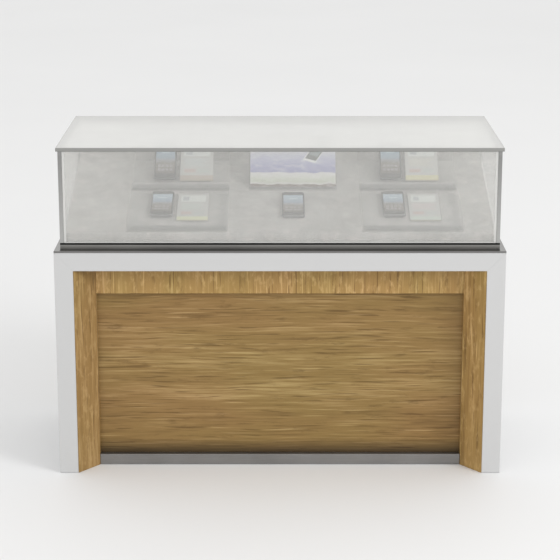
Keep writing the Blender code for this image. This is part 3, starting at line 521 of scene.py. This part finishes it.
def paper(tree, shader, place, colour):
    """Satin paper: fine fibres in the bump, faint unevenness in the gloss."""
    fibre = noise(tree, place, (1500, 1500, 1500), detail=3)
    rough = between(tree, noise(tree, place, (30, 30, 30), detail=3), 0.42, 0.60)
    wire(tree, shader, Base_Color=colour, Roughness=rough, Normal=bumped(tree, fibre, 0.10, 0.0001))


def plain_paper():
    """The unprinted back and edges of a sheet, faintly cloudy."""
    material, tree, shader, place = new_material("plain_paper")
    cloud = noise(tree, place, (45, 45, 45), detail=4)
    paper(tree, shader, place, mixed(tree, cloud, PAPER, PAPER_CLOUD))
    return material


def price_card(name, accent, band):
    """A generic card: a photo block, rules where wording would be, and a coloured foot band."""
    material, tree, shader, place = new_material(name)
    rules = []
    for i in range(4):
        drop = 0.055 * i
        rules.append(((0.12, 0.60 - drop, 0.86 - 0.09 * (i % 3), 0.622 - drop), accent))
    shapes = [
        ((0.10, 0.70, 0.90, 0.93), (0.66, 0.68, 0.67)),
        ((0.16, 0.74, 0.36, 0.89), (0.44, 0.47, 0.48)),
        *rules,
        ((0.12, 0.24, 0.46, 0.34), (0.52, 0.42, 0.38)),
        ((0.54, 0.24, 0.88, 0.34), (0.46, 0.50, 0.48)),
        ((0.0, 0.03, 1.0, 0.16), band),
        ((0.0, 0.0, 1.0, 0.03), (0.36, 0.32, 0.24)),
    ]
    paper(tree, shader, place, blocks(tree, PAPER, shapes))
    return material


def landscape_print(name):
    """A generic landscape, and over it a tilted handset, as on a shop's sign."""
    material, tree, shader, place = new_material(name)
    sheet = add(tree, "ShaderNodeTexCoord").outputs["UV"]
    axes = add(tree, "ShaderNodeSeparateXYZ", {0: sheet})
    ridge = noise(tree, sheet, (7, 2, 1), detail=5, roughness=0.6)
    height = calc(tree, "MULTIPLY_ADD", ridge, 0.14, axes.outputs[1])
    # The dark brown band at the foot is painted shadow along the sign's lower edge.
    bands = ramp(tree, height, [
        (0.00, (0.16, 0.12, 0.10)), (0.11, (0.16, 0.12, 0.10)), (0.12, (0.60, 0.60, 0.57)),
        (0.17, (0.50, 0.54, 0.43)), (0.26, (0.63, 0.63, 0.60)), (0.33, (0.66, 0.66, 0.67)),
        (0.35, (0.26, 0.27, 0.48)), (0.46, (0.33, 0.34, 0.54)), (0.62, (0.47, 0.48, 0.63)),
        (0.74, (0.66, 0.66, 0.72)), (1.00, (0.72, 0.71, 0.68)),
    ])
    clouds = noise(tree, sheet, (9, 14, 1), detail=5)
    bands = mixed(tree, ramp(tree, clouds, [(0.5, 0.0), (0.75, 0.5)]), bands, (0.80, 0.80, 0.80))
    figure = [
        ((0.70, 0.46, 0.86, 0.98), (0.74, 0.75, 0.75)),
        ((0.712, 0.50, 0.848, 0.97), (0.12, 0.13, 0.13)),
        ((0.727, 0.58, 0.833, 0.92), (0.26, 0.32, 0.31)),
    ]
    paper(tree, shader, place, blocks(tree, bands, figure, radians(24), (0.78, 0.68)))
    return material


def handset_screen(name):
    """A lit display: a plain dusk gradient with rows of soft tiles, under glass."""
    material, tree, shader, place = new_material(name, Roughness=0.08, IOR=1.5)
    sheet = add(tree, "ShaderNodeTexCoord").outputs["UV"]
    axes = add(tree, "ShaderNodeSeparateXYZ", {0: sheet})
    haze = noise(tree, sheet, (3, 4, 1), detail=4)
    height = calc(tree, "MULTIPLY_ADD", haze, 0.12, axes.outputs[1])
    sky = ramp(tree, height, [
        (0.05, (0.09, 0.075, 0.065)), (0.42, (0.15, 0.135, 0.12)), (0.56, (0.22, 0.24, 0.25)),
        (0.62, (0.20, 0.26, 0.31)), (1.0, (0.31, 0.39, 0.46)),
    ])
    tiles = []
    for row in range(2):
        for column in range(4):
            u = 0.11 + 0.205 * column
            v = 0.10 + 0.135 * row
            tiles.append(((u, v, u + 0.145, v + 0.085), (0.24, 0.235, 0.23)))
    tiles.append(((0.0, 0.955, 1.0, 1.0), (0.10, 0.12, 0.13)))
    tiles.append(((0.28, 0.74, 0.72, 0.80), (0.40, 0.48, 0.54)))
    picture = blocks(tree, sky, tiles)
    prints = noise(tree, place, (120, 120, 120), detail=3)
    rough = between(tree, prints, 0.05, 0.22)
    wire(tree, shader, Base_Color=picture, Emission_Color=picture, Roughness=rough)
    shader.inputs["Emission Strength"].default_value = 0.25
    return material


# ---- meshes -------------------------------------------------------------------------------
def piece(name, bm, materials, body, stands_for=(), sharp=35):
    """Finish a mesh that stands in the row frame: shading, materials, body and the node it stands
    for.
    """
    bmesh.ops.recalc_face_normals(bm, faces=bm.faces)
    mesh = bpy.data.meshes.new(name)
    bm.to_mesh(mesh)
    bm.free()
    mesh.shade_smooth()
    mesh.set_sharp_from_angle(angle=radians(sharp))
    for material in materials:
        mesh.materials.append(material)
    obj = bpy.data.objects.new(name, mesh)
    bpy.context.scene.collection.objects.link(obj)
    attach(obj, body)
    if stands_for:
        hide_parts(*stands_for)
    return obj


def stitch(bm, rings, caps=True, material=0):
    """Faces between successive rings of vertices, with the ends capped."""
    faces = []
    for low, high in zip(rings, rings[1:]):
        count = len(low)
        for i in range(count):
            j = (i + 1) % count
            faces.append(bm.faces.new((low[i], low[j], high[j], high[i])))
    if caps:
        faces.append(bm.faces.new(rings[0][::-1]))
        faces.append(bm.faces.new(rings[-1]))
    for face in faces:
        face.material_index = material
    return faces


def rounded_outline(width, height, radius):
    """Points round a rectangle with round corners, about the origin."""
    points = []
    for quarter, (sx, sy) in enumerate(((1, 1), (-1, 1), (-1, -1), (1, -1))):
        for i in range(CORNER_STEPS + 1):
            angle = (quarter + i / CORNER_STEPS) * pi / 2
            x = sx * (width / 2 - radius) + radius * cos(angle)
            points.append((x, sy * (height / 2 - radius) + radius * sin(angle)))
    return points


def slab(bm, matrix, width, height, corner, profile, material=0):
    """A rounded slab; profile gives (inset, level) from its underside to its top."""
    rings = []
    for inset, level in profile:
        radius = max(corner - inset, CORNER_LEAST)
        outline = rounded_outline(width - 2 * inset, height - 2 * inset, radius)
        rings.append([bm.verts.new(matrix @ Vector((x, y, level))) for x, y in outline])
    return stitch(bm, rings, material=material)


def soft_edges(low, high, radius, steps=4):
    """A slab's profile with both rims rounded."""
    under = []
    over = []
    for i in range(steps + 1):
        angle = i / steps * pi / 2
        under.append((radius - radius * sin(angle), low + radius - radius * cos(angle)))
        over.append((radius - radius * cos(angle), high - radius + radius * sin(angle)))
    return under + over


def unwrap_top(bm, faces, matrix, width, height):
    """Give the faces that look out of a sheet 0 to 1 coordinates across it."""
    layer = bm.loops.layers.uv.verify()
    inverse = matrix.inverted()
    for face in faces:
        for loop in face.loops:
            local = inverse @ loop.vert.co
            loop[layer].uv = (local.x / width + 0.5, local.y / height + 0.5)


def tube(bm, points, radius):
    """A round bar swept along a path of points that stay in one plane."""
    rings = []
    side = None
    for i, point in enumerate(points):
        ahead = points[min(i + 1, len(points) - 1)]
        behind = points[max(i - 1, 0)]
        along = (ahead - behind).normalized()
        if side is None:
            helper = Vector((0, 0, 1)) if abs(along.z) < 0.9 else Vector((1, 0, 0))
            side = along.cross(helper).normalized()
        side = (side - along * side.dot(along)).normalized()
        up = along.cross(side)
        ring = []
        for k in range(TUBE_SIDES):
            angle = 2 * pi * k / TUBE_SIDES
            ring.append(bm.verts.new(point + (side * cos(angle) + up * sin(angle)) * radius))
        rings.append(ring)
    return stitch(bm, rings)


def lathe(bm, matrix, profile, material=0, closed=False):
    """A profile of (radius, height) turned round the matrix's Z axis."""
    rings = []
    for radius, level in profile:
        ring = []
        for k in range(LATHE_SIDES):
            angle = 2 * pi * k / LATHE_SIDES
            local = Vector((radius * cos(angle), radius * sin(angle), level))
            ring.append(bm.verts.new(matrix @ local))
        rings.append(ring)
    if closed:
        rings.append(rings[0])
    return stitch(bm, rings, caps=not closed, material=material)


# ---- handles ------------------------------------------------------------------------------
def make_handle(node, body, finish):
    """A bent bar handle on two small roses, filling its node's box."""
    low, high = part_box(node)
    size = high - low
    radius = min(size.x, size.z) / 2
    vertical = size.z > size.x
    half = max(size.x, size.z) / 2 - radius
    middle = Vector(((low.x + high.x) / 2, low.y, (low.z + high.z) / 2))

    def spot(along, reach):
        return middle + Vector((0, reach, along) if vertical else (along, reach, 0))

    across = half - HANDLE_BEND
    out = size.y - radius - HANDLE_BEND
    path = [(half, 0.0), (half, out)]
    for i in range(1, BEND_STEPS + 1):
        angle = i / BEND_STEPS * pi / 2
        path.append((across + HANDLE_BEND * cos(angle), out + HANDLE_BEND * sin(angle)))
    path += [(-along, reach) for along, reach in reversed(path)]
    bm = bmesh.new()
    tube(bm, [spot(along, reach) for along, reach in path], radius)
    lip = radius + ROSE_LIP
    rose = [(radius, 0.0), (lip, 0.0), (lip, ROSE_EDGE), (radius, ROSE_THICK)]
    for end in (-half, half):
        lathe(bm, Matrix.Translation(spot(end, 0)) @ TO_STAFF, rose, closed=True)
    piece(f"{node}_bar", bm, [finish], body, (node,))


# ---- lock ---------------------------------------------------------------------------------
def make_lock(chrome, plastic):
    """A threaded barrel with a flange, and a plug with a keyway in front and a cam behind."""
    low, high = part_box("lock_barrel")
    centre = (low + high) / 2
    matrix = Matrix.Translation((centre.x, high.y, centre.z)) @ TO_STAFF
    flange = (high.x - low.x) / 2
    barrel = flange - FLANGE_LIP
    back = low.y - high.y
    thread = []
    for i in range(THREAD_TURNS):
        level = (back + THREAD_MARGIN) * i / THREAD_TURNS - THREAD_START
        thread += [(barrel, level), (barrel - THREAD_DEPTH, level - THREAD_STEP)]
    profile = [
        (LOCK_BORE, -0.0008), (LOCK_BORE + 0.0006, 0.0), (flange - 0.0012, 0.0),
        (flange - 0.0003, -0.0004), (flange, -0.0012), (flange, -0.0020), (barrel, -0.0022),
        *thread, (barrel, back), (LOCK_BORE, back),
    ]
    bm = bmesh.new()
    lathe(bm, matrix, profile, closed=True)
    piece("lock_barrel_turned", bm, [chrome], "cash_drawer", ("lock_barrel",), sharp=20)

    low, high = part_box("lock_plug")
    matrix = Matrix.Translation((centre.x, high.y, centre.z)) @ TO_STAFF
    back = low.y - high.y
    profile = [
        (AXIS_RADIUS, 0.0), (0.0042, 0.0), (0.0055, -0.0003), (PLUG_RADIUS, -0.0009),
        (PLUG_RADIUS, back), (AXIS_RADIUS, back),
    ]
    bm = bmesh.new()
    lathe(bm, matrix, profile)
    for width, height, proud in ((0.0014, 0.0078, 0.00006), (0.0026, 0.0026, 0.00008)):
        keyway = [(0.0, -KEYWAY_DEPTH), (0.0, proud)]
        slab(bm, matrix, width, height, width / 2, keyway, material=1)
    reach = high.x - centre.x
    cam = matrix @ Matrix.Translation(((reach - CAM_HEEL) / 2, 0, back + CAM_INSET))
    slab(bm, cam, reach + CAM_HEEL, CAM_WIDTH, CAM_CORNER, soft_edges(0.0, CAM_THICK, CAM_EDGE))
    piece("lock_plug_turned", bm, [chrome, plastic], "drawer_lock", ("lock_plug",))


# ---- what stands in the showcase ------------------------------------------------------------
def on_board(x, s, n, tilt=0.0):
    """A place on the sloping display board, turned with it and then tilted further up."""
    front = Matrix.Translation((0, BOARD_LOW.y - GAP, BOARD_FRONT_Z))
    slope = Matrix.Rotation(BOARD_SLOPE, 4, "X")
    return front @ slope @ Matrix.Translation((x, s, n)) @ Matrix.Rotation(tilt, 4, "X")


def handset_place(node, tilt):
    """The middle of a handset's underside, from its node's box, in its own tilted axes."""
    low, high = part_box(node)
    centre = (low + high) / 2
    turn = Matrix.Rotation(BOARD_SLOPE + tilt, 4, "X")
    return Matrix.Translation(centre) @ turn @ Matrix.Translation((0, 0, -HANDSET_THICK / 2))


def make_handset(node, tilt, finishes):
    """A display handset: rounded shell, glass face, lit screen, home key, ear slot and camera.

    finishes are those of the shell, the face, the screen and the trim.
    """
    place = handset_place(node, tilt)
    width, height = HANDSET_SIZE
    top = HANDSET_THICK
    bm = bmesh.new()
    shell = soft_edges(0.0, top - SHELL_DROP, SHELL_EDGE, 6)
    slab(bm, place, width, height, HANDSET_CORNER, shell)
    rim = [(0.0012, top - 0.0010), (0.0012, top - 0.0004), (0.0016, top - 0.0001), (0.0022, top)]
    slab(bm, place, width, height, HANDSET_CORNER, rim, material=1)

    screen_width = width - SCREEN_MARGINS[0]
    screen_height = height - SCREEN_MARGINS[1]
    lit = place @ Matrix.Translation((0, SCREEN_SHIFT, 0))
    glass = [(0, top - 0.0002), (0, top + 0.00005)]
    faces = slab(bm, lit, screen_width, screen_height, SCREEN_CORNER, glass, material=2)
    unwrap_top(bm, faces, lit, screen_width, screen_height)

    key = place @ Matrix.Translation((0, KEY_INSET - height / 2, top))
    ring = [(0.0042, -0.0004), (0.0042, 0.0001), (0.0037, 0.0001), (0.0037, -0.0001)]
    lathe(bm, key, ring, material=3)
    ear = place @ Matrix.Translation((0, height / 2 - EAR_INSET, 0))
    slab(bm, ear, *EAR_SLOT, EAR_SLOT[1] / 2, [(0, top - 0.0003), (0, top + 0.00006)], material=3)
    eye = place @ Matrix.Translation((EYE_OFFSET, height / 2 - EAR_INSET, 0))
    lens = [(0.0013, top - 0.0002), (0.0013, top + 0.00008), (0.0006, top + 0.0001)]
    lathe(bm, eye, lens, material=3)
    for offset in SIDE_BUTTONS:
        button = place @ Matrix.Translation((-width / 2, offset, top / 2))
        button = button @ Matrix.Rotation(-pi / 2, 4, "Y")
        slab(bm, button, *BUTTON_SIZE, 0.0010, soft_edges(-0.0003, 0.0003, 0.0002, 2), material=3)
    piece(f"{node}_body", bm, finishes, "counter", (node,))


def make_sheet(name, place, width, height, lift, finish):
    """A printed sheet that lies on a support, with its top edge curling up slightly."""
    columns = SHEET_COLUMNS
    rows = SHEET_ROWS
    bm = bmesh.new()
    layer = bm.loops.layers.uv.verify()
    grids = []
    for level in (0.0, CARD_THICK):
        grid = []
        for j in range(rows + 1):
            v = j / rows
            curl = lift * max(0.0, v - SHEET_FLAT) ** 2
            line = []
            for i in range(columns + 1):
                u = i / columns
                bow = lift * SHEET_BOW * (2 * u - 1) ** 2 * v
                local = Vector(((u - 0.5) * width, v * height, level + curl + bow))
                line.append(bm.verts.new(place @ local))
            grid.append(line)
        grids.append(grid)
    for level, grid in enumerate(grids):
        for j in range(rows):
            for i in range(columns):
                corners = ((i, j), (i + 1, j), (i + 1, j + 1), (i, j + 1))
                face = bm.faces.new([grid[b][a] for a, b in corners])
                face.material_index = 1 - level
                if level:
                    for loop, (a, b) in zip(face.loops, corners):
                        loop[layer].uv = (a / columns, b / rows)
    border = [(0, i) for i in range(columns + 1)]
    border += [(j, columns) for j in range(1, rows + 1)]
    border += [(rows, i) for i in range(columns - 1, -1, -1)]
    border += [(j, 0) for j in range(rows - 1, 0, -1)]
    for (a, b), (c, d) in zip(border, border[1:] + border[:1]):
        face = bm.faces.new((grids[0][a][b], grids[0][c][d], grids[1][c][d], grids[1][a][b]))
        face.material_index = 1
    piece(name, bm, [finish, PLAIN_PAPER], "counter")


# ---- the model ----------------------------------------------------------------------------
def paint(finish, *names):
    """Give CAD nodes a finish."""
    for name in names:
        node = NODES[name]
        if not node.material_slots:
            node.data.materials.append(finish)
        for slot in node.material_slots:
            slot.material = finish


def fill_mitres():
    """Stopper sanded flush in the glued mitres, so that the white frame reads as one piece."""
    low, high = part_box("top_slab")
    thick = high.z - low.z
    along = Vector((1, 0, 1)).normalized()
    for side, sign in SIDES:
        corner = Vector((sign * (FRAME_HALF - thick), 0, low.z))
        across = Vector((-sign * along.z, 0, along.x)) * MITRE_HALF
        run = Vector((sign, 0, 1)) * (thick - 2 * MITRE_HALF)
        start = corner + Vector((sign * MITRE_HALF, 0, MITRE_HALF))
        bm = bmesh.new()
        rings = []
        for y in (low.y + MITRE_HALF, high.y - MITRE_HALF):
            ring = [start - across, start + across, start + run + across, start + run - across]
            rings.append([bm.verts.new((point.x, y, point.z)) for point in ring])
        stitch(bm, rings)
        piece(f"{side}_mitre_fill", bm, [FRAME_LACQUER], "counter")


def paint_nodes():
    """The finishes of the pieces that keep their CAD shape."""
    paint(FRAME_LACQUER, "left_side_panel", "right_side_panel", "top_slab")
    boards = [
        "cabinet_floor", "rear_plinth", "centre_divider", "drawer_bay_shelf", "open_bay_shelf",
        "drawer_box",
    ]
    paint(lacquer("white_melamine_pressed", MELAMINE, 0.46, 1500), *boards)
    # The right reveal's tone is raised as painted light, to match the left one under the key light.
    for seed, (name, tone) in enumerate(UPRIGHT_TONES_AND_LIGHT.items(), start=1):
        paint(oak(f"oak_upright_{name}", "Z", seed, tone, 0.85, 0.8), name)
    paint(oak("oak_fascia", "Z", 6, 1.40, 0.60, 0.9), "fascia")
    panel_low, panel_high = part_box("front_panel")
    foot = (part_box("front_plinth")[1].z, (panel_low.y + panel_high.y) / 2)
    # The front panel's foot carries painted shade, for the contact shadow above the plinth.
    paint(oak("oak_front_panel", "X", 7, 0.96, foot=foot), "front_panel")
    paint(oak("oak_drawer_front", "X", 9, 1.10), "drawer_front")

    # The deck's strip in front of the channel is darkened with painted shade.
    channel_low, channel_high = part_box("base_channel")
    foot = (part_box("deck_plate")[0].y + PAINTED_SHADE_MARGIN, channel_low.y, channel_high.x)
    paint(brushed_metal("steel_deck", DARK_STEEL, 0.11, "X", foot=foot), "deck_plate")
    paint(brushed_metal("steel_channel", CHANNEL_STEEL, 0.30, "X"), "base_channel")
    paint(brushed_metal("steel_plinth", PLINTH_STEEL, 0.42, "X"), "front_plinth")
    rails = [f"{side}_drawer_{part}" for side, _ in SIDES for part in ("track", "runner")]
    paint(brushed_metal("steel_rails", STEEL, 0.34, "Y"), *rails)
    parts = ("fixed_leaf", "door_leaf", "pin")
    hinges = [f"{side}_hinge_{part}" for side, _ in SIDES for part in parts]
    paint(brushed_metal("steel_hinges", STEEL, 0.30, "Z"), *hinges)
    tracks = ("lower_door_track", "upper_door_track")
    paint(brushed_metal("aluminium_tracks", ALUMINIUM, 0.34, "X"), *tracks)

    # The front pane's rims carry a painted highlight along its polished edges.
    rims = (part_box("front_glass")[1].x - SIDE_HIGHLIGHT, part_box("base_gasket")[1].z + LOW_HIGHLIGHT)
    # Each pane's pale film is painted reflection of the bright room.
    paint(pane("front_pane", 1, 0.22, (0.32, 0.32, 0.31), rims=rims), "front_glass")
    paint(pane("side_panes", 0, 0.12, (0.30, 0.30, 0.292)), "left_side_glass", "right_side_glass")
    paint(pane("top_pane", 2, 0.64, (0.29, 0.29, 0.278)), "top_glass")
    paint(pane("door_panes", 1, 0.10, (0.30, 0.38, 0.36)), "left_glass_door", "right_glass_door")
    stands = [
        "lower_left_tray", "lower_right_tray", "upper_left_easel", "upper_right_easel",
        "picture_panel",
    ]
    paint(clear_acrylic("clear_acrylic_sheet"), *stands)
    paint(moulded("black_rubber", RUBBER, 0.85, sheen=0.15), "base_gasket")
    paint(mottled_laminate("stone_laminate"), "display_board", "board_riser")
    trays = ("till_tray", "till_divider", "left_door_catch", "right_door_catch")
    paint(moulded("black_moulded_plastic", PLASTIC, 0.46), *trays)


def make_display():
    """The handsets, the cards beside them and the sign."""
    finishes = [
        polished_metal("handset_metal_shell", (0.34, 0.34, 0.35), 0.28),
        moulded("handset_black_glass", (0.045, 0.043, 0.042), 0.16, 300.0),
        handset_screen("handset_lit_screen"),
        polished_metal("handset_trim", (0.55, 0.55, 0.56), 0.20),
    ]
    for node in ("lower_left_handset", "lower_right_handset", "centre_handset"):
        make_handset(node, 0.0, finishes)
    for node in ("upper_left_handset", "upper_right_handset"):
        make_handset(node, EASEL_TILT, finishes)

    accents = ((0.52, 0.60, 0.56), (0.62, 0.50, 0.50), (0.50, 0.56, 0.58), (0.60, 0.58, 0.50))
    bands = ((0.62, 0.63, 0.42), (0.50, 0.56, 0.50), (0.44, 0.38, 0.32), (0.58, 0.55, 0.34))
    cards = []
    for i, (accent, band) in enumerate(zip(accents, bands)):
        cards.append(price_card(f"printed_card_{i + 1}", accent, band))
    for i, (side, _) in enumerate(SIDES):
        low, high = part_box(f"lower_{side}_tray")
        x = (low.x + high.x) / 2 + CARD_OFFSET
        lying = on_board(x, LOWER_CARD_FOOT, GAP + ACRYLIC + GAP)
        make_sheet(f"lower_{side}_card", lying, *LOWER_CARD, LOWER_CURL, cards[i])
        lean = on_board(x + UPPER_CARD_STEP, EASEL_FOLD, GAP + ACRYLIC / 2, EASEL_TILT)
        lean = lean @ Matrix.Translation((0, UPPER_CARD_STEP, ACRYLIC / 2 + GAP))
        make_sheet(f"upper_{side}_card", lean, *UPPER_CARD, UPPER_CURL, cards[i + 2])
    low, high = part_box("picture_panel")
    lean = on_board((low.x + high.x) / 2, PICTURE_FOLD, GAP + ACRYLIC / 2, PICTURE_TILT)
    lean = lean @ Matrix.Translation((0, SIGN_MARGIN, ACRYLIC / 2 + GAP))
    width = high.x - low.x - 2 * SIGN_MARGIN
    make_sheet("landscape_sign", lean, width, SIGN_HEIGHT, SIGN_CURL, landscape_print("sign_print"))


PLAIN_PAPER = plain_paper()
FRAME_LACQUER = lacquer("white_lacquer_satin", WHITE, 0.34, 420)
paint_nodes()
fill_mitres()
DOOR_HANDLE_STEEL = brushed_metal("steel_handles", STEEL, 0.28, "Z")
for door_side, _ in SIDES:
    make_handle(f"{door_side}_door_handle", f"{door_side}_door", DOOR_HANDLE_STEEL)
make_handle("drawer_handle", "cash_drawer", brushed_metal("steel_drawer_handle", STEEL, 0.28, "X"))
make_lock(polished_metal("chrome_plate", CHROME, 0.09), moulded("keyway_black", PLASTIC, 0.6))
make_display()


# ---- stage --------------------------------------------------------------------------------
def make_floor():
    """A wide pale floor, just under the counter's feet."""
    material, tree, shader, place = new_material("studio_floor", Roughness=0.75)
    cloud = noise(tree, place, (0.8, 0.8, 0.8), detail=3)
    tint = ramp(tree, cloud, [(0.2, (0.785, 0.785, 0.79)), (0.8, (0.805, 0.805, 0.81))])
    wire(tree, shader, Base_Color=tint)
    bm = bmesh.new()
    bmesh.ops.create_grid(bm, x_segments=8, y_segments=8, size=FLOOR_HALF)
    mesh = bpy.data.meshes.new("studio_floor")
    bm.to_mesh(mesh)
    bm.free()
    mesh.materials.append(material)
    floor = bpy.data.objects.new("studio_floor", mesh)
    floor.location.z = -FLOOR_DROP
    bpy.context.scene.collection.objects.link(floor)


def make_area_light(name, place, size, power):
    """A round soft light that looks at the counter."""
    data = bpy.data.lights.new(name, "AREA")
    data.shape = "DISK"
    data.size = size
    data.energy = power
    light = bpy.data.objects.new(name, data)
    light.location = place
    light.rotation_mode = "QUATERNION"
    light.rotation_quaternion = (LIGHT_TARGET - place).to_track_quat("-Z", "Y")
    bpy.context.scene.collection.objects.link(light)


def make_world():
    """Even light from all round."""
    world = bpy.data.worlds.new("studio")
    world.use_nodes = True
    background = world.node_tree.nodes["Background"]
    background.inputs["Color"].default_value = (1.0, 1.0, 0.99, 1.0)
    background.inputs["Strength"].default_value = WORLD_LIGHT
    bpy.context.scene.world = world


def make_camera():
    """A long lens square to the front, looking slightly down."""
    data = bpy.data.cameras.new("camera")
    data.lens = CAMERA_LENS
    data.shift_y = CAMERA_SHIFT
    camera = bpy.data.objects.new("camera", data)
    camera.location = (0.0, CAD_BOX[0].y - EYE_AHEAD, EYE_HEIGHT)
    camera.rotation_euler = (pi / 2 - CAMERA_PITCH, 0.0, 0.0)
    bpy.context.scene.collection.objects.link(camera)
    bpy.context.scene.camera = camera


make_floor()
make_area_light("key_light", KEY_PLACE, KEY_SIZE, KEY_POWER)
make_area_light("fill_light", FILL_PLACE, FILL_SIZE, FILL_POWER)
make_world()
make_camera()
bpy.context.scene.view_settings.view_transform = "Standard"
